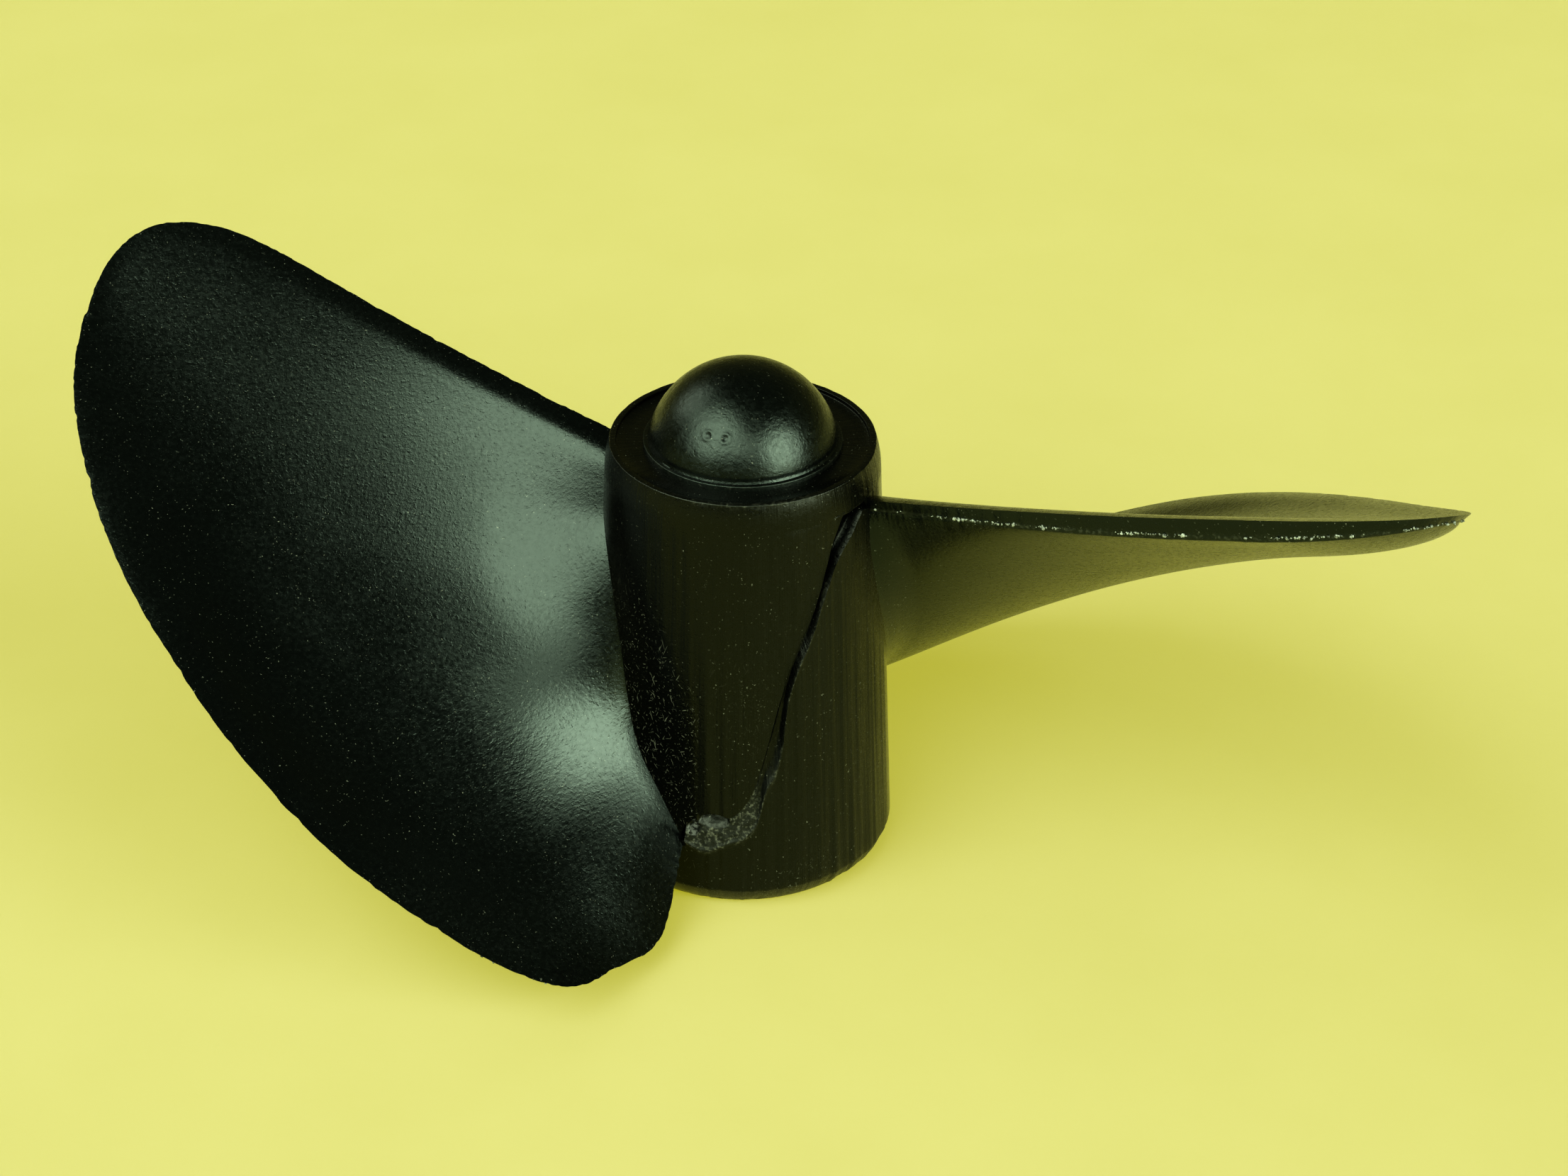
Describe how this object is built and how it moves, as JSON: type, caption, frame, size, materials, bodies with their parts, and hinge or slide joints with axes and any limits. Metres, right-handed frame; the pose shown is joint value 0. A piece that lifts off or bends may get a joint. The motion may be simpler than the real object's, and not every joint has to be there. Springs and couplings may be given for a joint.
{
  "type": "model ship propeller",
  "caption": "Left-hand propeller for a model boat: drafted round hub with a domed nose, hollow raked screw blades and a brass shaft bush in the foot.",
  "frame": {"origin": "centre of the hub's foot face, on the shaft axis and on the floor", "axes": "+Z along the shaft axis towards the domed nose, +X towards the right of the picture, -Y towards the camera"},
  "size_m": [0.0434, 0.0224, 0.0176],
  "materials": {
    "hub_nylon": "dull black moulded nylon with fine drawing marks",
    "dome_nylon": "semi-gloss black moulded nylon",
    "blade_nylon": "satin black moulded nylon",
    "bush_brass": "turned"
  },
  "bodies": {
    "root": {"hub": "hub_nylon", "nose_dome": "dome_nylon", "left_blade": "blade_nylon", "right_blade": "blade_nylon", "shaft_bush": "bush_brass"}
  },
  "joints": []
}
